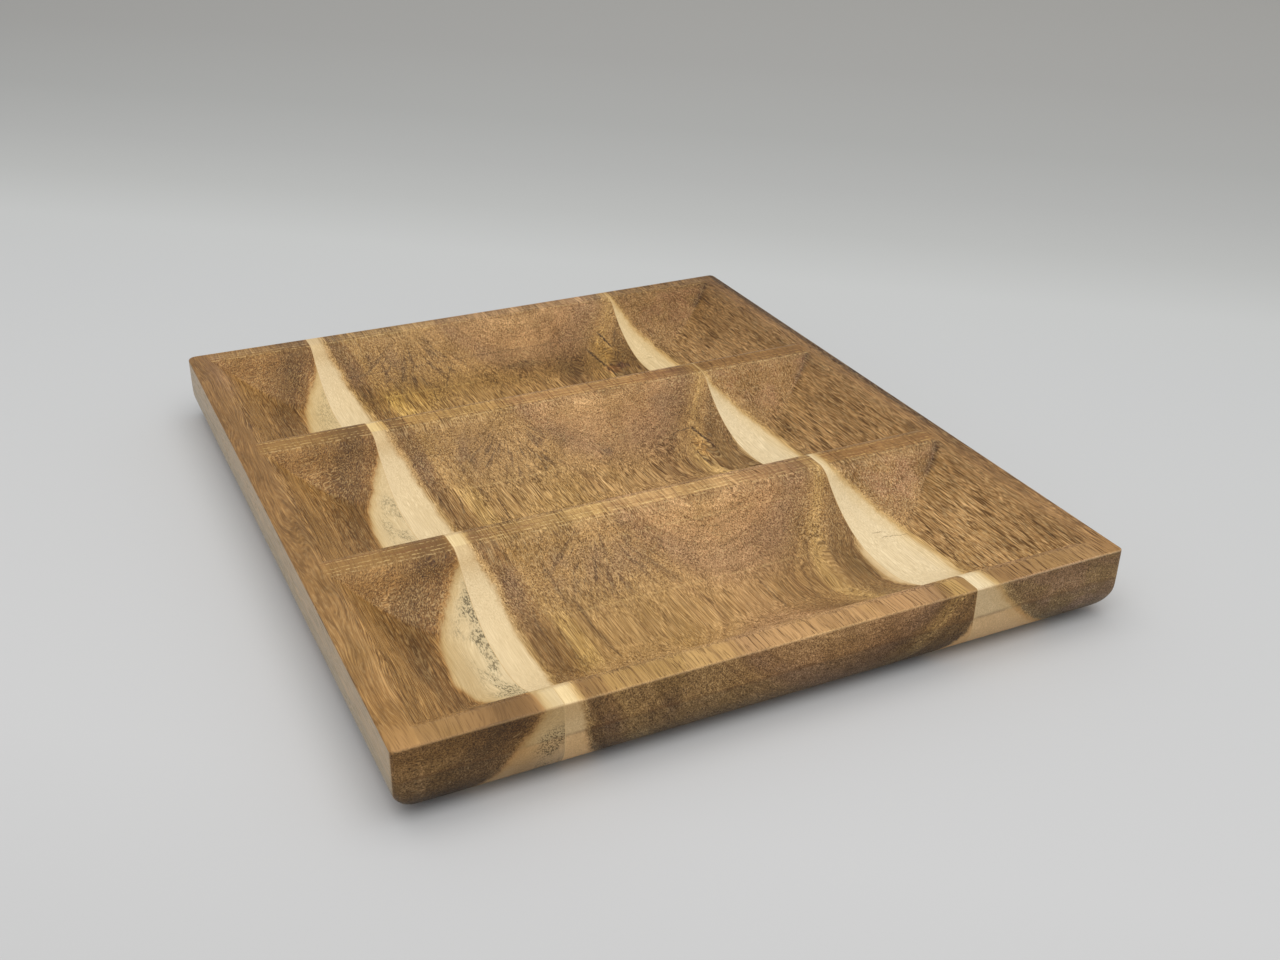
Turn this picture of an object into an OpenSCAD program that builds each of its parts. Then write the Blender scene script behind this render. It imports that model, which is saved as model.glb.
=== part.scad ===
// Divided serving tray. Three long coved pockets lie side by side in one thick panel,
// which is glued up from three boards with their grain running from front to back.
// The origin is the middle of the flat underside. The pockets run along X, the front faces -Y.

/* [Panel] */
// Width of the panel, from side to side
tray_width = 290; // [220:1:420]
// Depth of the panel, from front to back
tray_depth = 330; // [260:1:480]
// Thickness of the panel
tray_height = 30; // [24:0.5:44]
// Radius of the upright corners
corner_radius = 2.5; // [1:0.5:12]
// Radius of the eased edge round the top
top_ease = 1; // [0.5:0.1:3]
// Radius of the round-under along the lower edge
under_radius = 14; // [4:0.5:20]

/* [Pockets] */
// Number of pockets
pocket_count = 3; // [2:1:4]
// Flat width of the rim beside the pockets
rim_flat = 8.5; // [4:0.5:16]
// Flat width on top of each divider
divider_flat = 8.5; // [3:0.5:16]
// Wood left under the deepest line of a pocket
floor_thickness = 7.2; // [4:0.2:12]
// Radius of the rounded lip where a wall meets the rim
lip_radius = 10.8; // [4:0.2:14]
// Length over which an end wall comes down to the floor
end_run = 58; // [45:1:80]

/* [Boards] */
// Width of the left board
left_board_width = 57.7; // [35:0.1:100]
// Width of the right board
right_board_width = 69; // [35:0.1:100]
// Thickness of a cured glue line
glue_thickness = 0.2; // [0.1:0.05:0.6]

/* [Hidden] */
$fn = 180;
brown_wood = "#9c7748";
golden_wood = "#ad8a58";
glue_colour = "#e0cfa0";

// How far every cutter runs past the surface that it cuts
overrun = 2;
// How far a lip's arc would rise above the rim, so that it meets the rim at a slight angle
lip_rise = 0.1;
// How far a lip's circle laps over its cove's, so that the two arcs cross at a slight angle
lip_lap = 0.03;
// How much deeper the end coves aim than the pocket's deepest line
end_extra = 0.4;

pocket_depth = tray_height - floor_thickness;
pocket_length = tray_width - 2 * rim_flat;
pocket_span = (tray_depth - 2 * rim_flat - (pocket_count - 1) * divider_flat) / pocket_count;
// From a pocket's edge to the centre of the lip's arc
lip_reach = sqrt(pow(lip_radius, 2) - pow(lip_radius - lip_rise, 2));

left_glue_start = left_board_width - tray_width / 2;
centre_start = left_glue_start + glue_thickness;
right_start = tray_width / 2 - right_board_width;
right_glue_start = right_start - glue_thickness;

// Middle of a pocket, counted from the front
function pocket_middle(n) = rim_flat + pocket_span / 2 - tray_depth / 2 + n * (pocket_span + divider_flat);

// Sum of the radii of a wall's cove and its lip, which lap over each other a little
function arc_sum(run, drop) =
    (pow(run + lip_reach, 2) + pow(drop + lip_rise, 2) - pow(lip_lap, 2)) / (2 * (drop + lip_rise - lip_lap));

// How far below the rim the cove meets the lip
function seam_drop(run, drop) =
    lip_radius * (drop + lip_rise - lip_lap) / (arc_sum(run, drop) - lip_lap) - lip_rise;

// Plan of the panel, with its upright corners rounded
module panel_plan() {
    square([tray_width - 2 * corner_radius, tray_depth], center = true);
    square([tray_width, tray_depth - 2 * corner_radius], center = true);
    for (x = [-1, 1], y = [-1, 1])
        translate([x * (tray_width / 2 - corner_radius), y * (tray_depth / 2 - corner_radius)])
            circle(r = corner_radius);
}

// Upright section of the panel over this span: eased above, rounded under below
module panel_section(span) {
    translate([-span / 2, under_radius])
        square([span, tray_height - under_radius - top_ease]);
    translate([under_radius - span / 2, 0])
        square([span - 2 * under_radius, under_radius]);
    translate([top_ease - span / 2, tray_height - top_ease])
        square([span - 2 * top_ease, top_ease]);
    for (side = [-1, 1]) {
        translate([side * (span / 2 - under_radius), under_radius])
            circle(r = under_radius);
        translate([side * (span / 2 - top_ease), tray_height - top_ease])
            circle(r = top_ease);
    }
}

// Lays a section in the XZ plane and draws it out along Y
module along_y(length) {
    rotate([90, 0, 0])
        linear_extrude(length, center = true)
            children();
}

// Lays a section in the YZ plane and draws it out along X
module along_x(length) {
    rotate([90, 0, 90])
        linear_extrude(length, center = true)
            children();
}

// The solid panel before the pockets are cut
module panel() {
    intersection() {
        linear_extrude(tray_height)
            panel_plan();
        along_y(tray_depth + 2 * overrun)
            panel_section(tray_width);
        along_x(tray_width + 2 * overrun)
            panel_section(tray_depth);
    }
}

// Section of the space between two facing walls, measured down from the rim.
// Each wall is a rounded lip that runs into a hollow cove, which ends level after this run.
module wall_section(span, run, drop) {
    cove_radius = arc_sum(run, drop) - lip_radius;
    cove_centre = span / 2 - run;
    difference() {
        union() {
            translate([-span / 2 - lip_reach, -seam_drop(run, drop)])
                square([span + 2 * lip_reach, seam_drop(run, drop) + overrun]);
            for (side = cove_centre > 0 ? [-1, 1] : [1])
                translate([side * cove_centre, cove_radius - drop])
                    circle(r = cove_radius);
            if (cove_centre > 0)
                translate([-cove_centre, -drop])
                    square([2 * cove_centre, drop]);
        }
        for (side = [-1, 1])
            translate([side * (span / 2 + lip_reach), lip_rise - lip_radius])
                circle(r = lip_radius);
    }
}

// One pocket's space: a long trough, met by a cove at each end
module pocket_cut(n) {
    translate([0, pocket_middle(n), tray_height])
        intersection() {
            along_x(pocket_length + 2 * overrun)
                wall_section(pocket_span, pocket_span / 2, pocket_depth);
            along_y(pocket_span + 2 * overrun)
                wall_section(pocket_length, end_run, pocket_depth + end_extra);
        }
}

// The whole tray between two upright planes across X
module tray_between(start, width) {
    intersection() {
        difference() {
            panel();
            for (n = [0 : pocket_count - 1])
                pocket_cut(n);
        }
        translate([start, -tray_depth / 2 - overrun, -overrun])
            cube([width, tray_depth + 2 * overrun, tray_height + 2 * overrun]);
    }
}

module left_board() {
    color(brown_wood)
        tray_between(-tray_width / 2 - overrun, left_board_width + overrun);
}

module centre_board() {
    color(golden_wood)
        tray_between(centre_start, right_glue_start - centre_start);
}

module right_board() {
    color(brown_wood)
        tray_between(right_start, right_board_width + overrun);
}

module left_glue_line() {
    color(glue_colour)
        tray_between(left_glue_start, glue_thickness);
}

module right_glue_line() {
    color(glue_colour)
        tray_between(right_glue_start, glue_thickness);
}

left_board();
centre_board();
right_board();
left_glue_line();
right_glue_line();
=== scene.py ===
"""Divided serving tray: three boards glued edge to edge, with three coved pockets routed across them."""
import math

import bmesh
import bpy
import numpy as np
from mathutils import Matrix, Vector


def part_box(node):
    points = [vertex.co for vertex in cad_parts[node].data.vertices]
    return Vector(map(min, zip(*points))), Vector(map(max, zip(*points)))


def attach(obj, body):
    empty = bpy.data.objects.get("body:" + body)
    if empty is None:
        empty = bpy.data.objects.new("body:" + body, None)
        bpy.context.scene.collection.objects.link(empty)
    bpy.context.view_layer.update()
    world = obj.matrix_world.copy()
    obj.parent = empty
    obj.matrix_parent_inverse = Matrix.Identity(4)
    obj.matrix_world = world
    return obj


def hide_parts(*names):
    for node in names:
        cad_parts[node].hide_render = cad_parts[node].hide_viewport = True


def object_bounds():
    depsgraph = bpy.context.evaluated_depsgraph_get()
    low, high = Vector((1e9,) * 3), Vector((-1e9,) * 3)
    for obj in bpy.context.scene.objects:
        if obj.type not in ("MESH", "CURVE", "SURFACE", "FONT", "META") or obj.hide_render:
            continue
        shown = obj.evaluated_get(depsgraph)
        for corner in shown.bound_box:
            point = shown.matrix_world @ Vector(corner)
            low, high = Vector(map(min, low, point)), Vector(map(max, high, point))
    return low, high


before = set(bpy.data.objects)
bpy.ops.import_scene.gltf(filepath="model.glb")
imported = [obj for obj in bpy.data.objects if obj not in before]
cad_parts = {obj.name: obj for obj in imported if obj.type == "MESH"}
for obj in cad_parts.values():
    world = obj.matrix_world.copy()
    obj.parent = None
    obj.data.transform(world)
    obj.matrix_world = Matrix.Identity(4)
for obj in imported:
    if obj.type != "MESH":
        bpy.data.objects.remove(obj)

cad_low, cad_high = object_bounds()

# The camera
# It stands in front of the tray and to the left, and looks down on it at the photograph's angle.
camera_data = bpy.data.cameras.new("camera")
camera_data.sensor_width = 36.0
camera_data.lens = 40.33
camera_data.clip_start = 0.01
camera = bpy.data.objects.new("camera", camera_data)
bpy.context.scene.collection.objects.link(camera)
camera.matrix_world = (
    Matrix.Translation((-0.23009, -0.50572, 0.30995))
    @ Matrix.Rotation(math.radians(-26.283), 4, "Z")
    @ Matrix.Rotation(math.radians(61.740), 4, "X")
    @ Matrix.Rotation(math.radians(0.942), 4, "Z")
)
bpy.context.scene.camera = camera

# The left board
# The narrow board on the left: brown heartwood outside, a lens of pale sapwood at the glue line.
# It is glued to the centre board with its grain from front to back. Only then is the outside of
# the panel shaped and sanded, and are the pockets routed across all three boards in one go.
half_width = cad_high.x
half_depth = cad_high.y
panel_height = cad_high.z
top_ease = 0.001
under_radius = 0.014
rim_flat = 0.0085
divider_flat = 0.0085
pocket_count = 3
pocket_depth = 0.0228
lip_radius = 0.0108
lip_rise = 0.0001
lip_lap = 0.00003
end_run = 0.058
end_extra = 0.0004
pocket_span = (2 * half_depth - 2 * rim_flat - (pocket_count - 1) * divider_flat) / pocket_count
left_glue_start, left_glue_end = (corner.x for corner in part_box("left_glue_line"))
right_glue_start, right_glue_end = (corner.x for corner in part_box("right_glue_line"))

# Corner radii of the panel in plan, at the top and at the underside, which was sanded rounder by hand
corner_at_top = {(-1, -1): 0.0025, (1, -1): 0.0018, (1, 1): 0.003, (-1, 1): 0.004}
corner_below = {(-1, -1): 0.0048, (1, -1): 0.0028, (1, 1): 0.008, (-1, 1): 0.0058}


def wall_drop(inward, run, drop):
    """How far below the rim a pocket's wall lies at this distance in from the pocket's edge."""
    reach = math.sqrt(lip_radius ** 2 - (lip_radius - lip_rise) ** 2)
    radii = ((run + reach) ** 2 + (drop + lip_rise) ** 2 - lip_lap ** 2) / (2 * (drop + lip_rise - lip_lap))
    cove_radius = radii - lip_radius
    seam = lip_radius * (drop + lip_rise - lip_lap) / (radii - lip_lap) - lip_rise
    lip = lip_radius - lip_rise - np.sqrt(np.maximum(lip_radius ** 2 - (inward + reach) ** 2, 0))
    hollow = drop - cove_radius + np.sqrt(cove_radius ** 2 - np.clip(run - inward, 0, cove_radius) ** 2)
    on_lip = (lip < seam) & (inward + reach < lip_radius)
    return np.where(inward <= 0, 0, np.where(on_lip, lip, hollow))


def pocket_drop(x, y):
    """How far below the rim the finished top lies."""
    pitch = pocket_span + divider_flat
    nearest = np.mod(y + half_depth - rim_flat + divider_flat / 2, pitch) - pitch / 2
    sides = wall_drop(pocket_span / 2 - np.abs(nearest), pocket_span / 2, pocket_depth)
    ends = wall_drop(half_width - rim_flat - np.abs(x), end_run, pocket_depth + end_extra)
    return np.minimum(sides, ends)


def spaced(start, end, first_steps):
    """Places from start to end: these small steps at both ends, and even ones of the last size between."""
    length = end - start
    steps = np.cumsum(first_steps)
    steps = steps[steps < length * 0.45]
    between = length - 2 * steps[-1]
    middle = np.linspace(steps[-1], length - steps[-1], max(2, round(between / first_steps[-1]) + 1))
    inside = np.concatenate([steps[:-1], middle, length - steps[:-1][::-1]])
    return start + np.concatenate([[0], inside, [length]])


# Lines of the mesh. In a pocket's corner the lines across match the lines along level by level,
# so that every mitre between two walls runs through corners of the mesh.
wall_levels = 64
near_an_edge = [0.00025, 0.00035, 0.0006, 0.001]
side_lines = np.linspace(0, pocket_span / 2, wall_levels + 1)
side_drops = wall_drop(side_lines, pocket_span / 2, pocket_depth)
end_samples = np.linspace(0, end_run, 20001)
end_lines = np.interp(side_drops, wall_drop(end_samples, end_run, pocket_depth + end_extra), end_samples)
rim_lines = spaced(top_ease, rim_flat, near_an_edge)

lines_back = [-half_depth + rim_lines]
for n in range(pocket_count):
    edge = -half_depth + rim_flat + n * (pocket_span + divider_flat)
    lines_back.append(edge + side_lines[1:])
    lines_back.append(edge + pocket_span - side_lines[-2::-1])
    if n < pocket_count - 1:
        lines_back.append(edge + pocket_span + spaced(0, divider_flat, near_an_edge)[1:])
lines_back.append(half_depth - rim_lines[-2::-1])
lines_back = np.concatenate(lines_back)

floor_start = end_lines[-1] + rim_flat - half_width
floor_line_count = 72
floor_lines = np.linspace(floor_start, -floor_start, floor_line_count)
lines_right = np.concatenate([
    rim_lines - half_width,
    end_lines[1:-1] + rim_flat - half_width,
    floor_lines,
    half_width - rim_flat - end_lines[-2:0:-1],
    half_width - rim_lines[::-1],
])


def outside_rings():
    """Inset from the panel's face and height of each ring of the outside, from the top's edge down."""
    rings = [(top_ease, panel_height)]
    for turn in np.radians(np.linspace(0, 90, 7))[1:]:
        rings.append((top_ease * (1 - math.sin(turn)), panel_height - top_ease * (1 - math.cos(turn))))
    for height in np.linspace(panel_height - top_ease, under_radius, 9)[1:]:
        rings.append((0.0, height))
    for turn in np.radians(np.linspace(0, 90, 19))[1:]:
        rings.append((under_radius * (1 - math.cos(turn)), under_radius * (1 - math.sin(turn))))
    return rings


def hand_sanding(x, y, z):
    """How far hand sanding has taken the outside back at this place."""
    waves = math.sin(x * 43 + 1.1) + math.sin(y * 37 - 0.6) + math.sin((x - y) * 91 + z * 60)
    return 0.00003 * (3 + waves) * min(1, (panel_height - z) / top_ease) * min(1, z / under_radius)


def trimmed(corner):
    """The place of a mesh corner once the back edge is sanded hollow and the right edge runs in a little."""
    x, y, z = corner
    hollow = 0.0013 * math.cos(x / half_width * math.pi / 2)
    taper = 0.0007 * min(1, max(0, 0.5 + y / (2 * half_depth)))
    over_back = min(1, max(0, (y - half_depth + rim_flat) / rim_flat))
    over_right = min(1, max(0, (x - half_width + rim_flat) / rim_flat))
    return x - taper * over_right, y - hollow * over_back, z


def on_ring(x, y, inset, z, left_joint, right_joint):
    """Where a point of the top's square edge comes on a ring further down, with the corners rounded."""
    corner = (int(math.copysign(1, x)), int(math.copysign(1, y)))
    first_x = half_width - top_ease
    first_y = half_depth - top_ease
    down = min(1, max(0, 1 - z / (0.6 * panel_height))) ** 1.3

    def radius_at(which):
        at_top = corner_at_top[which] - inset if z > 0.8 * panel_height else corner_at_top[which]
        return max(0.0006, at_top) + (corner_below[which] - corner_at_top[which]) * down

    def first_radius(which):
        return max(0.0006, corner_at_top[which] - top_ease)

    own_first = first_radius(corner)
    own = radius_at(corner)
    past_x = abs(x) - (first_x - own_first)
    past_y = abs(y) - (first_y - own_first)
    if past_x > 0 and past_y > 0:
        far = math.hypot(past_x, past_y)
        square = max(past_x, past_y) / own_first
        new_x = corner[0] * (half_width - inset - own + own * square * past_x / far)
        new_y = corner[1] * (half_depth - inset - own + own * square * past_y / far)
        outward = (corner[0] * past_x / far, corner[1] * past_y / far)
    elif past_x > past_y:
        ends_first = [-(first_y - first_radius((corner[0], -1))), first_y - first_radius((corner[0], 1))]
        ends_now = [
            -(half_depth - inset - radius_at((corner[0], -1))),
            half_depth - inset - radius_at((corner[0], 1)),
        ]
        new_x = corner[0] * (half_width - inset)
        new_y = float(np.interp(y, ends_first, ends_now))
        outward = (corner[0], 0)
    else:
        ends_first = [-(first_x - first_radius((-1, corner[1]))), first_x - first_radius((1, corner[1]))]
        ends_now = [
            -(half_width - inset - radius_at((-1, corner[1]))),
            half_width - inset - radius_at((1, corner[1])),
        ]
        if left_joint is not None:
            ends_first[0] = ends_now[0] = left_joint
        if right_joint is not None:
            ends_first[1] = ends_now[1] = right_joint
        new_x = float(np.interp(x, ends_first, ends_now))
        new_y = corner[1] * (half_depth - inset)
        outward = (0, corner[1])
    taken = hand_sanding(new_x, new_y, z)
    return new_x - outward[0] * taken, new_y - outward[1] * taken, z


def board_blank(name, left_joint, right_joint):
    """One board of the shaped panel before the pockets are routed: its top is still flat."""
    lines = lines_right
    if left_joint is not None:
        lines = np.concatenate([[left_joint], lines[lines > left_joint + 0.0001]])
    if right_joint is not None:
        lines = np.concatenate([lines[lines < right_joint - 0.0001], [right_joint]])
    wide, deep = len(lines), len(lines_back)
    corners = []
    for y in lines_back:
        for x in lines:
            radius = corner_at_top[(int(math.copysign(1, x)), int(math.copysign(1, y)))]
            if abs(x) > half_width - radius and abs(y) > half_depth - radius:
                corners.append(on_ring(x, y, top_ease, panel_height, left_joint, right_joint))
            else:
                corners.append((x, y, panel_height))
    faces = []
    for row in range(deep - 1):
        for column in range(wide - 1):
            a = row * wide + column
            b, c, d = a + 1, a + wide + 1, a + wide
            # a face is split along the diagonal that lies closer to the routed surface
            x, next_x = lines[column], lines[column + 1]
            y, next_y = lines_back[row], lines_back[row + 1]
            across = np.array([x, next_x, next_x, x, (x + next_x) / 2])
            along = np.array([y, y, next_y, next_y, (y + next_y) / 2])
            drops = pocket_drop(across, along)
            rising = abs((drops[0] + drops[2]) / 2 - drops[4])
            falling = abs((drops[1] + drops[3]) / 2 - drops[4])
            if abs(rising - falling) < 0.00001:
                faces.append((a, b, c, d))
            elif rising < falling:
                faces += [(a, b, c), (a, c, d)]
            else:
                faces += [(a, b, d), (b, c, d)]
    routed = len(corners)

    front = list(range(wide))
    back = [(deep - 1) * wide + column for column in range(wide)]
    left = [row * wide for row in range(deep)]
    right = [row * wide + wide - 1 for row in range(deep)]
    if left_joint is None:
        paths = [front[::-1] + left[1:] + back[1:]]
    elif right_joint is None:
        paths = [front + right[1:] + back[::-1][1:]]
    else:
        paths = [front, back]
    rings = outside_rings()
    ends = []
    for path in paths:
        above = path
        columns = [[above[0]], [above[-1]]]
        for inset, z in rings[1:]:
            below = []
            for vertex in path:
                row, column = divmod(vertex, wide)
                below.append(len(corners))
                corners.append(on_ring(lines[column], lines_back[row], inset, z, left_joint, right_joint))
            for n in range(len(path) - 1):
                faces.append((above[n], above[n + 1], below[n + 1], below[n]))
            columns[0].append(below[0])
            columns[1].append(below[-1])
            above = below
        ends.append((columns, above))
    if len(paths) == 1:
        (start, end), last = ends[0]
        faces.append(tuple(last))
        joint = right if left_joint is None else left
        faces.append(tuple(joint + end[1:] + start[:0:-1]))
    else:
        (front_left, front_right), front_last = ends[0]
        (back_left, back_right), back_last = ends[1]
        faces.append(tuple(front_last + back_last[::-1]))
        faces.append(tuple(left + back_left[1:] + front_left[:0:-1]))
        faces.append(tuple(right + back_right[1:] + front_right[:0:-1]))

    mesh = bpy.data.meshes.new(name)
    mesh.from_pydata([trimmed(corner) for corner in corners], [], faces)
    work = bmesh.new()
    work.from_mesh(mesh)
    bmesh.ops.recalc_face_normals(work, faces=work.faces)
    for face in work.faces:
        face.smooth = True
        if len(face.verts) > 4 and abs(face.normal.x) > 0.9:
            for edge in face.edges:
                edge.smooth = False
    work.to_mesh(mesh)
    work.free()
    top = mesh.attributes.new("top", "BOOLEAN", "POINT")
    top.data.foreach_set("value", [n < routed for n in range(len(corners))])
    piece = bpy.data.objects.new(name, mesh)
    bpy.context.scene.collection.objects.link(piece)
    return piece


def put(socket, value):
    """Feeds a socket with a link or with a plain value."""
    if isinstance(value, bpy.types.NodeSocket):
        socket.id_data.links.new(value, socket)
    else:
        socket.default_value = value


def nodes_of(*values):
    """The nodes of the tree that the sockets among these values are in."""
    return next(value.id_data.nodes for value in values if isinstance(value, bpy.types.NodeSocket))


def new_step(kind, *values):
    """A new node, with its first sockets fed by these values."""
    step = nodes_of(*values).new(kind)
    for socket, value in zip(step.inputs, values):
        put(socket, value)
    return step


def maths(operation, *values):
    """One step of arithmetic on sockets or numbers."""
    step = new_step("ShaderNodeMath", *values)
    step.operation = operation
    return step.outputs[0]


def total(first, second):
    """The sum of two values."""
    return maths("ADD", first, second)


def minus(first, second):
    """The first value less the second."""
    return maths("SUBTRACT", first, second)


def rest(value):
    """What is left of 1."""
    return minus(1.0, value)


def times_plus(first, second, third):
    """The first two values multiplied, and the third added."""
    return maths("MULTIPLY_ADD", first, second, third)


def larger(first, second):
    """The larger of two values."""
    return maths("MAXIMUM", first, second)


def unsigned(value):
    """The value without its sign."""
    return maths("ABSOLUTE", value)


def squared(value):
    """The value times itself."""
    return maths("POWER", value, 2.0)


def product(*values):
    """All the values multiplied."""
    result = values[0]
    for value in values[1:]:
        result = maths("MULTIPLY", result, value)
    return result


# The router's rule for one wall: a rounded lip at the rim that runs into a hollow cove
wall_group = bpy.data.node_groups.new("wall_section", "GeometryNodeTree")
for size in ("Inward", "Run", "Drop", "Lip Radius", "Lip Rise", "Lip Lap"):
    wall_group.interface.new_socket(size, in_out="INPUT", socket_type="NodeSocketFloat")
wall_group.interface.new_socket("Depth", in_out="OUTPUT", socket_type="NodeSocketFloat")
given = wall_group.nodes.new("NodeGroupInput").outputs
radius_squared = squared(given["Lip Radius"])
crown = minus(given["Lip Radius"], given["Lip Rise"])
reach = maths("SQRT", minus(radius_squared, squared(crown)))
risen = total(given["Drop"], given["Lip Rise"])
lapped = minus(risen, given["Lip Lap"])
squares = total(squared(total(given["Run"], reach)), squared(risen))
squares = minus(squares, squared(given["Lip Lap"]))
radii = maths("DIVIDE", squares, product(lapped, 2.0))
cove = minus(radii, given["Lip Radius"])
seam = maths("DIVIDE", lapped, minus(radii, given["Lip Lap"]))
seam = times_plus(seam, given["Lip Radius"], product(given["Lip Rise"], -1.0))
along_lip = total(given["Inward"], reach)
lip_chord = minus(radius_squared, squared(along_lip))
lip_depth = minus(crown, maths("SQRT", larger(lip_chord, 0.0)))
to_middle = larger(minus(given["Run"], given["Inward"]), 0.0)
cove_chord = minus(squared(cove), squared(to_middle))
hollow_depth = minus(given["Drop"], cove)
hollow_depth = total(hollow_depth, maths("SQRT", larger(cove_chord, 0.0)))
on_lip = product(maths("LESS_THAN", lip_depth, seam), maths("LESS_THAN", along_lip, given["Lip Radius"]))
lip_share = product(lip_depth, on_lip)
hollow_share = product(hollow_depth, rest(on_lip))
depth_here = total(lip_share, hollow_share)
depth_here = product(depth_here, maths("GREATER_THAN", given["Inward"], 0.0))
wall_out = wall_group.nodes.new("NodeGroupOutput")
put(wall_out.inputs["Depth"], depth_here)

# The routing itself: the flat top of a board goes down to the nearest pocket's walls
routing = bpy.data.node_groups.new("route_the_pockets", "GeometryNodeTree")
routing.interface.new_socket("Board", in_out="INPUT", socket_type="NodeSocketGeometry")
routing_sizes = {
    "Panel Width": 2 * half_width,
    "Panel Depth": 2 * half_depth,
    "Rim Flat": rim_flat,
    "Divider Flat": divider_flat,
    "Pocket Count": float(pocket_count),
    "Pocket Depth": pocket_depth,
    "Lip Radius": lip_radius,
    "Lip Rise": lip_rise,
    "Lip Lap": lip_lap,
    "End Run": end_run,
    "End Extra": end_extra,
    "Mitre Softness": 0.0004,
    "Softer With Depth": 0.11,
    "Sanding Waves": 0.00025,
}
for size in routing_sizes:
    routing.interface.new_socket(size, in_out="INPUT", socket_type="NodeSocketFloat")
routing.interface.new_socket("Wood", in_out="INPUT", socket_type="NodeSocketMaterial")
routing.interface.new_socket("Board", in_out="OUTPUT", socket_type="NodeSocketGeometry")
given = routing.nodes.new("NodeGroupInput").outputs
place = routing.nodes.new("ShaderNodeSeparateXYZ")
position = routing.nodes.new("GeometryNodeInputPosition")
put(place.inputs[0], position.outputs[0])


def wall_depth(inward, run, drop):
    """One wall's depth from the wall group."""
    wall = routing.nodes.new("GeometryNodeGroup")
    wall.node_tree = wall_group
    put(wall.inputs["Inward"], inward)
    put(wall.inputs["Run"], run)
    put(wall.inputs["Drop"], drop)
    for size in ("Lip Radius", "Lip Rise", "Lip Lap"):
        put(wall.inputs[size], given[size])
    return wall.outputs["Depth"]


flats = product(given["Rim Flat"], 2.0)
dividers = product(minus(given["Pocket Count"], 1.0), given["Divider Flat"])
span = minus(minus(given["Panel Depth"], flats), dividers)
span = maths("DIVIDE", span, given["Pocket Count"])
half_span = maths("DIVIDE", span, 2.0)
pitch = total(span, given["Divider Flat"])
from_front = times_plus(given["Panel Depth"], 0.5, place.outputs["Y"])
from_front = minus(from_front, given["Rim Flat"])
from_front = times_plus(given["Divider Flat"], 0.5, from_front)
in_cell = maths("FLOORED_MODULO", from_front, pitch)
off_middle = unsigned(minus(in_cell, maths("DIVIDE", pitch, 2.0)))
side_depth = wall_depth(minus(half_span, off_middle), half_span, given["Pocket Depth"])
to_end = minus(maths("DIVIDE", given["Panel Width"], 2.0), given["Rim Flat"])
to_end = minus(to_end, unsigned(place.outputs["X"]))
end_depth = wall_depth(to_end, given["End Run"], total(given["Pocket Depth"], given["End Extra"]))
shallower = maths("MINIMUM", side_depth, end_depth)
softness = times_plus(shallower, given["Softer With Depth"], given["Mitre Softness"])
depth = maths("SMOOTH_MIN", side_depth, end_depth, softness)
depth = larger(depth, 0.0)
waves = routing.nodes.new("ShaderNodeTexNoise")
waves.noise_dimensions = "3D"
put(waves.inputs["Vector"], position.outputs[0])
waves.inputs["Scale"].default_value = 38.0
waves.inputs["Detail"].default_value = 1.0
wave_height = product(minus(waves.outputs[0], 0.5), given["Sanding Waves"])
wave_share = maths("MINIMUM", maths("DIVIDE", depth, given["Lip Radius"]), 1.0)
depth = times_plus(wave_height, wave_share, depth)
downward = routing.nodes.new("ShaderNodeCombineXYZ")
put(downward.inputs["Z"], product(depth, -1.0))
is_top = routing.nodes.new("GeometryNodeInputNamedAttribute")
is_top.data_type = "BOOLEAN"
is_top.inputs["Name"].default_value = "top"
lower = routing.nodes.new("GeometryNodeSetPosition")
put(lower.inputs["Geometry"], given["Board"])
put(lower.inputs["Selection"], is_top.outputs["Attribute"])
put(lower.inputs["Offset"], downward.outputs[0])
real = routing.nodes.new("GeometryNodeRealizeInstances")
put(real.inputs[0], lower.outputs[0])
finish_wood = routing.nodes.new("GeometryNodeSetMaterial")
put(finish_wood.inputs["Geometry"], real.outputs[0])
put(finish_wood.inputs["Material"], given["Wood"])
routed_out = routing.nodes.new("NodeGroupOutput")
put(routed_out.inputs["Board"], finish_wood.outputs[0])


def route_pockets(blank, wood):
    """Routes the pockets into a blank and leaves a plain mesh with its wood on it."""
    modifier = blank.modifiers.new("pockets", "NODES")
    modifier.node_group = routing
    for item in routing.interface.items_tree:
        if item.in_out == "INPUT" and item.name in routing_sizes:
            modifier[item.identifier] = routing_sizes[item.name]
        elif item.in_out == "INPUT" and item.name == "Wood":
            modifier[item.identifier] = wood
    bpy.context.view_layer.update()
    ready = blank.evaluated_get(bpy.context.evaluated_depsgraph_get())
    finished = bpy.data.meshes.new_from_object(ready)
    finished.name = blank.name
    blank.modifiers.remove(modifier)
    blank.data = finished
    return blank


def tone(red, green, blue):
    """A colour given as it looks on a screen, 0 to 255 each."""
    shares = [value / 255 for value in (red, green, blue)]
    linear = [((value + 0.055) / 1.055) ** 2.4 if value > 0.04045 else value / 12.92 for value in shares]
    return (*linear, 1.0)


def stretched(vector, x, y, z):
    """The same place with each axis multiplied, so that a pattern is drawn out or packed."""
    step = new_step("ShaderNodeVectorMath", vector, (x, y, z))
    step.operation = "MULTIPLY"
    return step.outputs[0]


def moved(vector, offset):
    """The sum of two vectors."""
    step = new_step("ShaderNodeVectorMath", vector, offset)
    step.operation = "ADD"
    return step.outputs[0]


def vector_of(x, y, z):
    """Three numbers as a vector."""
    return new_step("ShaderNodeCombineXYZ", x, y, z).outputs[0]


def noise(vector, packing, detail, roughness=0.5):
    """Soft noise between 0 and 1, with about this many features to a unit of x, y and z."""
    step = new_step("ShaderNodeTexNoise", stretched(vector, *packing) if packing else vector)
    step.inputs["Scale"].default_value = 1.0
    step.inputs["Detail"].default_value = detail
    step.inputs["Roughness"].default_value = roughness
    return step.outputs[0]


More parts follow.
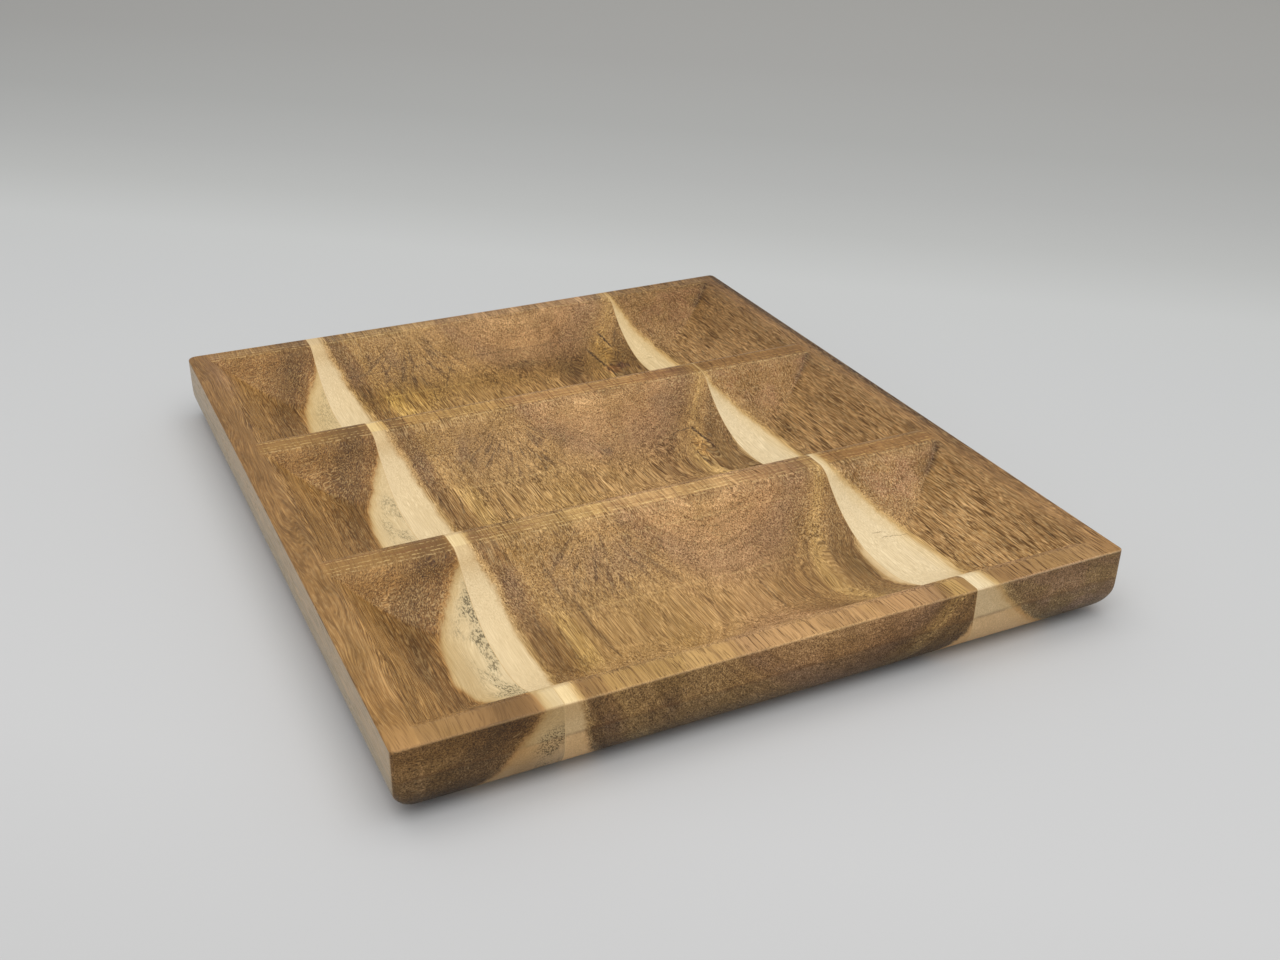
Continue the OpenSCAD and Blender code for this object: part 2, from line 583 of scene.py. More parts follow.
def line_noise(value, scale, detail):
    """Noise along one number only."""
    step = nodes_of(value).new("ShaderNodeTexNoise")
    step.noise_dimensions = "1D"
    put(step.inputs["W"], value)
    step.inputs["Scale"].default_value = scale
    step.inputs["Detail"].default_value = detail
    return step.outputs[0]


def cells(vector):
    """Distance to the nearest of many scattered points, one to each unit cell."""
    step = new_step("ShaderNodeTexVoronoi", vector)
    step.voronoi_dimensions = "3D"
    step.inputs["Scale"].default_value = 1.0
    return step.outputs["Distance"]


def rise(value, start, end):
    """A soft step from 0 at start to 1 at end. It falls instead where end is the lower one."""
    step = new_step("ShaderNodeMapRange", value)
    step.interpolation_type = "SMOOTHSTEP"
    low, high = min(start, end), max(start, end)
    step.inputs["From Min"].default_value = low
    step.inputs["From Max"].default_value = high
    step.inputs["To Min"].default_value = 0.0 if end > start else 1.0
    step.inputs["To Max"].default_value = 1.0 if end > start else 0.0
    return step.outputs["Result"]


def ridge(value, middle, half):
    """1 at the middle and 0 at this distance from it."""
    return rise(unsigned(minus(value, middle)), half, 0.0)


def blended(share, first, second, mode="MIX"):
    """Two colours mixed by a share from 0 to 1."""
    step = nodes_of(share, first, second).new("ShaderNodeMix")
    step.data_type = "RGBA"
    step.blend_type = mode
    put(step.inputs["Factor"], share)
    put(step.inputs["A"], first)
    put(step.inputs["B"], second)
    return step.outputs["Result"]


def scaled(colour, factor):
    """A colour made lighter or darker."""
    step = new_step("ShaderNodeVectorMath", colour)
    step.operation = "SCALE"
    put(step.inputs["Scale"], factor)
    return step.outputs[0]


def deepened(colour, shade):
    """A colour made lighter or darker as oiled wood is: the darker, the fuller the colour."""
    channels = [maths("POWER", larger(shade, 0.2), power) for power in (0.88, 1.0, 1.25)]
    step = new_step("ShaderNodeVectorMath", colour, vector_of(*channels))
    step.operation = "MULTIPLY"
    return step.outputs[0]


def swing(value, amount):
    """Turns noise round 0.5 into a factor round 1."""
    return times_plus(minus(value, 0.5), 2.0 * amount, 1.0)


def colours_along(share, first, last, stops):
    """Colour by a share of the way from first to last. The stops are (place, colour)."""
    step = new_step("ShaderNodeValToRGB", share)
    points = step.color_ramp.elements
    while len(points) < len(stops):
        points.new(1.0)
    for point, (at, colour) in zip(points, stops):
        point.position = (at - first) / (last - first)
        point.color = colour
    return step.outputs[0]


def ring_colours(ring, stops):
    """Colour by distance from the pith. The stops are (millimetres, colour) from the pith outwards."""
    first, last = stops[0][0], stops[-1][0]
    share = maths("DIVIDE", minus(ring, float(first)), float(last - first))
    return colours_along(share, first, last, [(at, tone(*colour)) for at, colour in stops])


pocket_pitch = pocket_span + divider_flat
back_edges = [rim_flat + pocket_span + n * pocket_pitch - half_depth for n in range(pocket_count)]


class Wood:
    """The start of one board's material: where a point is in its tree, in millimetres."""

    def __init__(self, name, pith_x, pith_z):
        self.material = bpy.data.materials.new(name)
        self.material.use_nodes = True
        self.tree = tree = self.material.node_tree
        self.shader = tree.nodes["Principled BSDF"]
        where = tree.nodes.new("ShaderNodeTexCoord")
        self.place = stretched(where.outputs["Object"], 1000, 1000, 1000)
        parts = tree.nodes.new("ShaderNodeSeparateXYZ")
        put(parts.inputs[0], self.place)
        self.x, self.y, self.z = parts.outputs
        facing = tree.nodes.new("ShaderNodeSeparateXYZ")
        geometry = tree.nodes.new("ShaderNodeNewGeometry")
        put(facing.inputs[0], geometry.outputs["Normal"])
        facing_y = unsigned(facing.outputs["Y"])
        facing_x = unsigned(facing.outputs["X"])
        self.slanted = rise(facing_y, 0.20, 0.65)
        outermost = rise(unsigned(self.y), 156.8, 158.5)
        beside_top = product(outermost, rise(self.z, 29.6, 28.6), rise(facing_y, 0.20, 0.50))
        self.end_face = larger(rise(facing_y, 0.80, 0.97), beside_top)
        self.side_face = rise(facing_x, 0.90, 0.98)
        along = stretched(self.place, 0.06, 0.010, 0.06)
        self.bend = minus(noise(along, None, 2.0), 0.5)
        self.off_x = total(minus(self.x, pith_x), product(self.bend, 6.0))
        self.off_z = minus(self.z, pith_z)
        squares = total(squared(self.off_x), squared(self.off_z))
        ragged = minus(noise(self.place, (0.55, 0.06, 0.55), 3.0), 0.5)
        self.from_pith = maths("SQRT", squares)
        self.ring = times_plus(ragged, 3.0, self.from_pith)
        pocket_end = (half_width - rim_flat) * 1000
        left_end = rise(self.x, -pocket_end - 1.5, -pocket_end + 3.5)
        self.inside_x = product(left_end, rise(self.x, pocket_end + 1.5, pocket_end - 3.5))
        # how far a point lies behind the nearest back edge of a pocket, from a little in front of it
        before = 20.0
        past = total(self.y, before - back_edges[0] * 1000)
        self.behind = minus(maths("FLOORED_MODULO", past, pocket_pitch * 1000), before)
        self.flat_top = rise(self.z, 29.3, 29.9)
        self.front_rim = rise(self.y, -150.0, -157.0)
        on_crest = product(rise(self.behind, -0.5, 0.5), rise(self.behind, 9.5, 8.0), self.inside_x)
        crest_middle = round(pocket_pitch * 500, 1)
        self.back_crest = product(on_crest, rise(unsigned(minus(self.y, crest_middle)), 12.0, 8.0))
        self.front_crest = product(on_crest, rise(unsigned(total(self.y, crest_middle)), 12.0, 8.0))

        rough = noise(self.place, (0.7, 0.7, 0.3), 2.0)
        self.rough_line = minus(rough, 0.5)
        rough = noise(self.place, (0.5, 0.25, 0.5), 3.0)
        self.rough_spot = minus(rough, 0.5)

    def towards_front(self, size, length):
        """A number that is this size at the front face and dies away over this length behind it."""
        behind = maths("DIVIDE", total(self.y, half_depth * 1000), -length)
        return product(maths("EXPONENT", behind), size)

    def on_rim(self, side):
        """1 on the flat rim at the right (1) or at the left (-1)."""
        return product(rise(self.x, side * 133.0, side * 136.5), self.flat_top)

    def patches(self, x, y, z, low, high):
        """Patches of this size in x, y and z, 0 below the low level of noise and 1 above the high one."""
        return rise(noise(self.place, (1 / x, 1 / y, 1 / z), 2.0), low, high)

    def spot(self, x, y, z, reach, ragged=0.0):
        """1 at this place and 0 outside this reach in x, y and z."""
        away = moved(self.place, (-x, -y, -z))
        away = stretched(away, 1 / reach[0], 1 / reach[1], 1 / reach[2])
        step = new_step("ShaderNodeVectorMath", away)
        step.operation = "LENGTH"
        far = step.outputs["Value"]
        if ragged:
            far = times_plus(self.rough_spot, ragged * 2, far)
        return rise(far, 1.0, 0.25)

    def line(self, start, end, half, sag=0.0, wobble=0.5):
        """A thin line seen from above, from one (x, y) to another, bent sideways by the sag."""
        length = math.hypot(end[0] - start[0], end[1] - start[1])
        over, up = (end[0] - start[0]) / length, (end[1] - start[1]) / length
        from_x = minus(self.x, start[0])
        from_y = minus(self.y, start[1])
        along = total(product(from_x, over), product(from_y, up))
        across = minus(product(from_y, over), product(from_x, up))
        across = times_plus(self.rough_line, wobble * 4, across)
        arc = maths("SINE", product(along, math.pi / length))
        across = times_plus(arc, -sag, across)
        ends = product(rise(along, -1.0, 1.5), rise(along, length + 1.0, length - 1.5))
        return product(ridge(across, 0.0, half), ends, rise(self.z, 3.0, 5.0))


def one_tint(places):
    """One colour for all the places where a board is lighter or darker, given as (share, red, green, blue).

    Each place is worked out when it is asked for and mixed in at once, because Cycles draws a material
    black when it has to hold too many values at the same time."""
    tint = (1.0, 1.0, 1.0, 1.0)
    for share, *channels in places:
        tint = blended(share, tint, (*channels, 1.0), "MULTIPLY")
    return tint


def oiled(wood, colour, sapwood, lively, longer, closer, bands, tint):
    """Adds what all three boards have: fibres, pores, end grain, router and burn marks, the oil, and some
    painted light and shade.

    The pattern is this lively, its fibres are longer and closer, its growth rings this strongly banded."""
    heart = rest(sapwood)
    wander = scaled(vector_of(wood.bend, 0.0, wood.bend), 11.0)
    fibre = moved(wood.place, wander)

    # across the grain everything stands in rows round the pith
    turn = maths("ARCTAN2", wood.off_x, product(wood.off_z, -1.0))
    grain = vector_of(product(turn, 60.0), wood.y, wood.from_pith)
    grain = moved(grain, wander)

    # broad streaks, then fine fibres, all drawn out along the grain
    streaks = noise(fibre, (0.32, 0.010, 0.32), 4.0, 0.7)
    threads = noise(grain, (1.3 * closer, 0.045 / longer, 2.0 * closer), 2.0, 0.7)
    hairs = noise(moved(grain, (7, 2, 5)), (2.3 * closer, 0.13 / longer, 3.0), 1.0)
    clouds = noise(wood.place, (0.06, 0.028, 0.06), 3.0)
    rings = line_noise(wood.ring, 0.40, 3.0)
    pinholes = noise(moved(wood.place, (1, 8, 4)), (1.9, 1.5, 1.9), 1.0, 0.6)
    pinholes = minus(pinholes, 0.5)
    fine = product(swing(threads, 1.5), swing(hairs, 1.2))
    finer = times_plus(wood.slanted, -0.45, 1.0)
    fine = times_plus(minus(fine, 1.0), product(finer, lively), 1.0)
    fine = total(fine, product(pinholes, wood.slanted, 2.7))
    shade = product(swing(streaks, 0.42), swing(clouds, 0.30), swing(rings, bands), fine)
    crest = larger(wood.front_crest, wood.back_crest)
    calmer = larger(product(sapwood, 0.82), product(wood.front_rim, wood.flat_top, 0.82))
    calmer = larger(calmer, product(crest, 0.72))
    shade = times_plus(rest(shade), calmer, shade)
    # painted light fall-off: the heartwood and the sapwood are made darker towards the back, where the light
    # falls off
    heart_light_falloff = times_plus(wood.y, -0.0004, 0.99)
    shade = product(shade, times_plus(minus(heart_light_falloff, 1.0), heart, 1.0))
    cream_light_falloff = times_plus(wood.y, -0.0002, -0.05)
    shade = product(shade, times_plus(cream_light_falloff, sapwood, 1.0))
    colour = deepened(colour, shade)
    olive = rise(clouds, 0.52, 0.36)
    colour = blended(product(olive, heart, 0.55), colour, (0.82, 0.80, 0.66, 1.0), "MULTIPLY")

    # light flecks between the vessels, strongest where the fibres are cut across
    flecks = noise(moved(grain, (9, 5, 3)), (1.9, 0.30 / longer, 2.8), 1.0, 0.55)
    flecks = rise(flecks, 0.50, 0.62)
    fleck_share = times_plus(wood.slanted, 0.16, 0.20)
    fleck_share = times_plus(wood.end_face, -0.26, fleck_share)
    fleck_share = times_plus(larger(wood.front_rim, crest), -0.19, fleck_share)
    colour = blended(product(flecks, fleck_share, heart, lively), colour, tone(232, 202, 154))

    # vessels: fine ones everywhere and long dark ones
    small = rise(cells(stretched(grain, 1.7, 0.11 / longer, 2.2)), 0.40, 0.16)
    large = rise(cells(stretched(moved(fibre, (40, 70, 20)), 0.80, 0.040, 0.80)), 0.22, 0.10)
    strokes = noise(moved(grain, (3, 11, 7)), (1.4, 0.085 / longer, 1.7), 1.0, 0.6)
    strokes = rise(strokes, 0.56, 0.63)
    patches = rise(noise(wood.place, (0.11, 0.03, 0.11), 1.0), 0.34, 0.62)
    vessels = larger(product(small, 0.62), product(large, 0.80))
    vessels = larger(vessels, product(strokes, patches, 0.85))
    vessels = product(vessels, times_plus(heart, 0.93, 0.07))
    vessels = product(vessels, lively, times_plus(wood.slanted, -0.25, 1.0))
    colour = blended(product(vessels, 0.88), colour, tone(86, 58, 28))

    # the crests were sanded lengthways, which left thin reddish brown lines along them
    sanding = noise(moved(wood.place, (3, 9, 1)), (0.05, 1.6, 0.6), 2.0)
    sanding = product(rise(sanding, 0.52, 0.66), crest, heart, 0.58)
    colour = blended(sanding, colour, tone(122, 78, 46))

    # along each pocket's back edge the cutter tore bright broken lines
    behind_pocket = product(rise(wood.y, -150.0, -140.0), wood.inside_x)
    wobble = minus(noise(wood.place, (0.16, 0.16, 0.16), 2.0), 0.5)
    for n, (place_behind, strength) in enumerate(((7.6, 0.40), (3.4, 0.34), (1.0, 0.50), (-1.2, 0.42))):
        level = times_plus(wobble, 1.4, wood.behind)
        dashes = noise(moved(wood.place, (17.0 * n, 0, 0)), (0.65, 1.1, 1.1), 1.0)
        lip_line = product(ridge(level, place_behind, 0.65), rise(dashes, 0.46, 0.58))
        lip_share = product(lip_line, behind_pocket, times_plus(sapwood, -strength, strength))
        colour = blended(lip_share, colour, tone(240, 208, 156))
    ragged = rise(noise(wood.place, (0.8, 2.2, 2.2), 2.0), 0.42, 0.58)

    # pale ragged lines where the cutter paused on its way down
    for y, from_x, to_x, strength in (
        (155.0, -80.0, -20.0, 0.22), (123.7, -66.0, -10.0, 0.34), (18.2, -56.0, -8.0, 0.32),
        (-90.0, -52.0, 60.0, 0.24), (-66.9, -84.0, 60.0, 0.16),
    ):
        reaches = product(rise(wood.x, from_x - 4, from_x + 4), rise(wood.x, to_x + 4, to_x - 4))
        wavering = times_plus(wood.bend, 1.5, wood.y)
        cut = product(ridge(wavering, y, 0.8), reaches, ragged, heart, strength)
        colour = blended(cut, colour, tone(240, 208, 150))

    # end grain drinks more oil: dark and greyer on the panel's ends. The slanted walls are a little warmer
    # from their end grain and a little lighter from painted light
    colour = blended(product(wood.slanted, heart), colour, (1.05, 1.03, 1.03, 1.0), "MULTIPLY")
    end_tint = blended(sapwood, (0.70, 0.70, 0.70, 1.0), (0.80, 0.72, 0.63, 1.0))
    colour = blended(wood.end_face, colour, end_tint, "MULTIPLY")
    dots = cells(stretched(moved(grain, (5, 0, 5)), 1.8, 0.4, 2.2))
    dark_dots = product(rise(dots, 0.40, 0.15), wood.end_face, times_plus(heart, 0.40, 0.12))
    colour = blended(dark_dots, colour, tone(46, 32, 18))
    pale_dots = product(rise(dots, 0.75, 0.95), wood.end_face, heart, 0.38)
    colour = blended(pale_dots, colour, tone(176, 146, 104))

    # a burn line and a greyer lower half on the outside faces, where the round-over cutter stopped
    outside = larger(wood.end_face, wood.side_face)
    outside = product(outside, rise(wood.z, 29.6, 28.8))
    below = product(outside, rise(wood.z, 17.9, 16.6))
    below_tint = blended(sapwood, (0.80, 0.84, 0.94, 1.0), (0.98, 0.90, 0.84, 1.0))
    colour = blended(below, colour, below_tint, "MULTIPLY")
    # darker and bluer towards the foot of the heartwood's outside faces: partly the wood's own colour, partly
    # painted shade where the round-under turns down to the table
    low_heart_darkening_and_shade = product(outside, rise(wood.z, 15.0, 4.0), heart)
    colour = blended(low_heart_darkening_and_shade, colour, (0.60, 0.66, 0.80, 1.0), "MULTIPLY")
    level = times_plus(wood.bend, 1.2, wood.z)
    singed = product(ridge(level, 17.5, 1.1), outside)
    singed = product(singed, times_plus(wood.patches(6.0, 6.0, 6.0, 0.4, 0.6), 0.6, 0.4))
    singed = product(singed, times_plus(heart, 0.2, 0.35))
    colour = blended(singed, colour, tone(92, 62, 34))
    # a pale line along the eased top edge of the front and back faces: partly worn edge, partly painted
    # highlight
    edge = product(ridge(wood.z, 29.45, 0.55), larger(wood.end_face, wood.slanted))
    outermost = rise(unsigned(wood.y), 163.0, 163.8)
    colour = blended(product(edge, outermost, 0.30), colour, tone(220, 186, 148))

    colour = blended(1.0, colour, tint, "MULTIPLY")

    # oil makes the whole surface deeper and warmer, the heartwood most
    oil = blended(sapwood, (0.97, 0.92, 0.77, 1.0), (1.0, 0.99, 0.95, 1.0))
    colour = blended(1.0, colour, oil, "MULTIPLY")
    # painted sheen: the long-grain side faces are blended towards pale grey, as if lit at a grazing angle by
    # the pale table
    sanded = product(wood.side_face, rise(wood.z, 29.6, 28.8), 0.45)
    colour = blended(sanded, colour, tone(208, 194, 166))
    put(wood.shader.inputs["Base Color"], colour)
    wood.shader.inputs["Specular IOR Level"].default_value = 0.24
    roughness = times_plus(threads, 0.20, 0.36)
    roughness = times_plus(vessels, 0.25, roughness)
    roughness = times_plus(wood.side_face, -0.12, roughness)
    put(wood.shader.inputs["Roughness"], roughness)
    height = times_plus(vessels, -0.9, product(threads, 0.8))
    height = times_plus(flecks, 0.3, height)
    relief = wood.tree.nodes.new("ShaderNodeBump")
    relief.inputs["Strength"].default_value = 0.7
    relief.inputs["Distance"].default_value = 0.00014
    put(relief.inputs["Height"], height)
    put(wood.shader.inputs["Normal"], relief.outputs[0])
    return wood.material


left_wood = Wood("left_board_wood", -165.0, 70.0)
dip = maths("SINE", times_plus(left_wood.y, -2 * math.pi / (pocket_pitch * 1000), 0.66))
left_ring = left_wood.ring
for swell in (
    product(dip, rise(left_wood.y, -150.0, -136.0), 3.2),
    product(rise(left_wood.y, -45.0, -82.0), rise(left_wood.y, -131.0, -116.0), 4.4),
    product(rise(left_wood.y, -136.0, -152.0), 6.4),
):
    left_ring = total(left_ring, swell)
left_colour = ring_colours(left_ring, [
    (25, (150, 114, 72)),
    (48, (152, 115, 70)),
    (64, (150, 114, 69)),
    (71, (140, 105, 63)),
    (77, (122, 90, 53)),
    (83, (122, 89, 52)),
    (86.0, (138, 102, 60)),
    (87.2, (172, 131, 80)),
    (88.8, (210, 180, 128)),
    (90.6, (220, 194, 147)),
    (112, (226, 204, 164)),
])
left_sapwood = rise(left_ring, 86.2, 88.6)
dark_front = product(ridge(left_ring, 77.5, 6.5), ridge(left_wood.y, -100.0, 50.0))
dark_walls = product(
    ridge(left_ring, 76.0, 9.0), left_wood.slanted, rise(left_wood.z, 12.0, 20.0),
    left_wood.patches(9.0, 30.0, 9.0, 0.30, 0.55),
)
dark = larger(product(dark_front, 0.70), product(dark_walls, 0.72))
left_colour = blended(dark, left_colour, tone(96, 70, 40))
speckles = noise(left_wood.place, (1.7, 0.55, 1.7), 2.0, 0.6)
speckles = rise(speckles, 0.49, 0.56)
stained = product(
    rise(left_wood.x, -101.0, -93.0), rise(left_wood.z, 25.0, 18.0),
    rise(left_ring, 90.0, 94.0), left_wood.patches(7.0, 16.0, 7.0, 0.34, 0.54),
)
front_more = rise(left_wood.y, 60.0, -60.0)
stained = product(stained, times_plus(front_more, 0.6, 0.4))
left_colour = blended(product(stained, 0.34), left_colour, tone(186, 172, 136))
left_colour = blended(product(speckles, stained, 0.84), left_colour, tone(98, 86, 58))
# painted highlight: a pale golden line along the left rim's inner edge, where the lip begins
painted_lip_highlight = product(ridge(left_wood.x, -135.5, 1.3), left_wood.patches(3.0, 30.0, 9.0, 0.36, 0.56))
left_colour = blended(product(painted_lip_highlight, 0.40), left_colour, tone(190, 148, 96))
pinkish = left_wood.spot(-134.0, 140.0, 26.0, (9.0, 34.0, 18.0), 0.6)
left_colour = blended(product(pinkish, 0.35), left_colour, tone(160, 122, 98))
left_heart = rest(left_sapwood)
not_top = rest(left_wood.flat_top)


def left_tints():
    """Where the left board is lighter or darker."""
    yield product(left_heart, not_top, rest(left_wood.end_face)), 1.03, 0.99, 0.89
    yield product(left_wood.slanted, rise(left_wood.z, 19.0, 26.0)), 0.86, 0.83, 0.77
    # painted light fall-off: the left rim darker towards the back and lighter at the front
    yield product(left_wood.on_rim(-1), rise(left_wood.y, -100.0, 30.0)), 0.83, 0.79, 0.72
    yield product(left_wood.on_rim(-1), rise(left_wood.y, -112.0, -140.0)), 1.12, 1.10, 1.08
    yield product(left_wood.front_rim, left_wood.flat_top, left_heart), 1.22, 1.28, 1.46
    yield left_wood.front_crest, 1.06, 1.06, 0.98
    yield left_wood.back_crest, 1.07, 1.06, 0.90
    lens_edge = ridge(left_wood.x, -102.0, 9.0)
    yield product(left_sapwood, lens_edge, rise(left_wood.y, -55.0, -80.0)), 0.84, 0.80, 0.73
    front_wall = product(left_heart, left_wood.slanted, rise(left_wood.y, -55.0, -65.0))
    yield product(front_wall, rise(left_wood.z, 25.0, 19.0)), 1.10, 1.15, 1.25
    yield left_wood.spot(-101.0, 139.0, 18.0, (10.0, 10.0, 12.0)), 0.84, 0.82, 0.70
    yield product(left_sapwood, rise(left_wood.y, 80.0, 105.0)), 0.96, 0.93, 0.84
    # darker towards the foot of the front face: partly the wood's own colour, partly painted shade where the
    # round-under turns down to the table
    yield product(left_wood.end_face, left_heart, rise(left_wood.z, 10.0, 5.0)), 0.80, 0.84, 0.92
    yield product(left_wood.end_face, left_sapwood, rise(left_wood.z, 17.0, 8.0)), 0.72, 0.76, 0.86


left_lively = times_plus(left_wood.flat_top, -0.45, 0.95)
left_tint = one_tint(left_tints())
left_material = oiled(left_wood, left_colour, left_sapwood, left_lively, 1.5, 1.1, 0.28, left_tint)

left_board = route_pockets(board_blank("left_board_oiled", None, left_glue_start), left_material)
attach(left_board, "root")
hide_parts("left_board")

# The centre board
# The wide middle board: heartwood with growth rings round a pith above it, and a thin strip of
# sapwood at its left glue line.
centre_wood = Wood("centre_board_wood", 20.0, 65.0)
lowness = product(minus(30.0, centre_wood.z), 0.045)
left_ring = total(centre_wood.ring, product(centre_wood.towards_front(-4.5, 75.0), lowness))
left_ring = total(left_ring, rise(centre_wood.z, 14.0, 20.0))
right_ring = total(centre_wood.ring, centre_wood.towards_front(4.8, 60.0))
left_of_pith = ring_colours(left_ring, [
    (30, (184, 143, 99)),
    (48, (176, 136, 95)),
    (53, (168, 129, 91)),
    (57, (175, 137, 90)),
    (66, (178, 141, 92)),
    (74, (173, 137, 89)),
    (90.0, (166, 130, 82)),
    (92.5, (170, 134, 85)),
    (96.4, (168, 132, 82)),
    (99.0, (150, 114, 70)),
    (103.4, (130, 98, 60)),
    (105.4, (138, 104, 64)),
    (107.4, (192, 157, 106)),
    (109.6, (228, 203, 159)),
    (126, (232, 209, 168)),
])
right_of_pith = ring_colours(right_ring, [
    (30, (184, 143, 99)),
    (48, (174, 133, 93)),
    (54, (166, 128, 91)),
    (57.0, (153, 117, 83)),
    (60.4, (145, 111, 72)),
    (62.6, (162, 126, 80)),
    (68, (160, 124, 78)),
    (71, (134, 102, 62)),
    (74, (138, 105, 63)),
    (78.4, (126, 94, 56)),
    (79.6, (186, 152, 104)),
    (81.2, (222, 194, 148)),
])
right_share = rise(centre_wood.off_x, 4.0, 26.0)
centre_colour = blended(right_share, left_of_pith, right_of_pith)
left_sapwood = product(rise(left_ring, 106.4, 109.2), rest(right_share))
centre_sapwood = larger(left_sapwood, product(rise(right_ring, 78.6, 80.6), right_share))

# a golden patch and a thin dark seam low down on the left, purplish clouds on the walls
golden = product(
    rise(left_ring, 97.2, 95.6), rise(left_ring, 89.0, 91.5), rise(centre_wood.z, 12.5, 8.2),
    rest(right_share), centre_wood.patches(14.0, 60.0, 14.0, 0.25, 0.50),
)
centre_colour = blended(product(golden, 0.72), centre_colour, tone(196, 160, 102))
lower_ring = times_plus(rise(centre_wood.z, 18.0, 9.0), -2.4, right_ring)
wedge = product(ridge(lower_ring, 65.2, 3.2), right_share, centre_wood.patches(12.0, 30.0, 12.0, 0.22, 0.44))
centre_colour = blended(product(wedge, 0.80), centre_colour, tone(190, 154, 98))
seam = product(
    ridge(left_ring, 88.6, 1.3), rise(centre_wood.z, 26.0, 18.0),
    rest(right_share), centre_wood.patches(10.0, 26.0, 10.0, 0.40, 0.60),
)
centre_colour = blended(product(seam, 0.70), centre_colour, tone(92, 64, 36))
purplish = product(ridge(centre_wood.ring, 52.5, 5.5), 0.7)
for spot_x, spot_y, spot_z, reach in (
    (-49.0, 0.0, 18.0, (7.0, 900.0, 9.0)), (-70.0, 0.0, 17.0, (6.0, 900.0, 8.0)),
    (-30.0, -74.0, 18.0, (26.0, 14.0, 12.0)), (52.0, 38.0, 24.0, (15.0, 9.0, 10.0)),
):
    purplish = larger(purplish, centre_wood.spot(spot_x, spot_y, spot_z, reach, 0.5))
purplish = product(purplish, centre_wood.slanted, centre_wood.patches(9.0, 22.0, 7.0, 0.28, 0.52))
centre_colour = blended(product(purplish, 0.50), centre_colour, tone(126, 98, 78))

# growth rings that the router cut at a shallow angle, drawn out into long thin dark lines
centre_heart = rest(centre_sapwood)
ring_line = line_noise(times_plus(centre_wood.bend, 3.0, centre_wood.from_pith), 0.70, 1.0)
ring_line = product(
    rise(ring_line, 0.54, 0.68), centre_wood.patches(20.0, 40.0, 16.0, 0.30, 0.50), centre_heart)
centre_colour = blended(product(ring_line, 0.40), centre_colour, tone(130, 94, 58))

# fibres that spread out like a fan on the far walls, where the grain dives under a knot
for knot_x, knot_y, turned in ((-27.0, 46.0, 0.0), (-40.0, 156.0, 0.5), (-30.0, -56.0, 0.5)):
    from_x = minus(centre_wood.x, knot_x)
    from_y = minus(knot_y, centre_wood.y)
    turn = maths("ARCTAN2", from_x, from_y)
    far = maths("SQRT", total(squared(from_x), squared(from_y)))
    fan = noise(vector_of(product(turn, 13.0), product(far, 0.10), turned), None, 2.0, 0.6)
    fan = product(rise(fan, 0.50, 0.60), rise(far, 6.0, 11.0), rise(far, 36.0, 24.0))
    fan = product(fan, rise(unsigned(turn), 1.25, 0.9), rise(from_y, 2.0, 8.0))
    fan = product(fan, centre_wood.patches(9.0, 12.0, 9.0, 0.26, 0.44), rise(centre_wood.z, 7.5, 10.0))
    centre_colour = blended(product(fan, 0.74), centre_colour, tone(100, 72, 46))

# the back pocket is darker, above all its floor, and so is the right third of every far wall's foot
low_down = rise(centre_wood.z, 17.0, 9.0)
at_back = rise(centre_wood.y, 70.0, 90.0)
towards_right = product(ridge(centre_wood.x, 40.0, 20.0), rise(centre_wood.z, 27.0, 18.0))


def centre_tints():
    """Where the centre board is lighter or darker."""
    yield product(rise(centre_wood.y, 108.0, 124.0), low_down, centre_heart), 0.80, 0.77, 0.63
    yield product(at_back, rise(centre_wood.z, 28.0, 18.0), centre_heart), 0.93, 0.90, 0.80
    high_up = rise(centre_wood.z, 20.0, 27.0)
    yield product(ridge(centre_wood.x, 12.0, 34.0), high_up, centre_wood.slanted), 1.16, 1.20, 1.20
    yield product(left_sapwood, high_up), 0.92, 0.87, 0.79
    yield centre_wood.spot(-22.0, -4.0, 8.0, (36.0, 15.0, 10.0)), 1.18, 1.20, 1.20
    yield product(towards_right, centre_heart), 0.86, 0.83, 0.80
    yield product(centre_wood.front_rim, centre_wood.flat_top), 1.20, 1.24, 1.24
    yield centre_wood.back_crest, 1.15, 1.13, 0.95
    yield centre_wood.spot(-50.0, 116.0, 8.0, (24.0, 20.0, 12.0)), 1.30, 1.34, 1.24
    yield centre_wood.spot(60.0, 28.0, 14.0, (13.0, 26.0, 18.0)), 0.74, 0.70, 0.62
    yield centre_wood.spot(-42.0, 37.0, 20.0, (16.0, 17.0, 15.0)), 0.80, 0.78, 0.77
    yield product(centre_wood.front_crest, rise(unsigned(centre_wood.x), 45.0, 25.0)), 1.18, 1.22, 1.20
    yield centre_wood.front_crest, 1.17, 1.21, 1.20
    yield product(centre_wood.front_crest, rise(centre_wood.x, 36.0, 50.0)), 0.84, 0.80, 0.76
    yield product(centre_wood.back_crest, rise(centre_wood.x, 42.0, 54.0)), 0.76, 0.70, 0.64
    yield product(centre_wood.flat_top, rise(centre_wood.y, 150.0, 157.0)), 0.95, 0.95, 0.97
    front_middle = product(centre_wood.end_face, rise(centre_wood.x, -40.0, -10.0))
    yield product(front_middle, rise(centre_wood.z, 12.0, 20.0)), 1.14, 1.12, 1.08


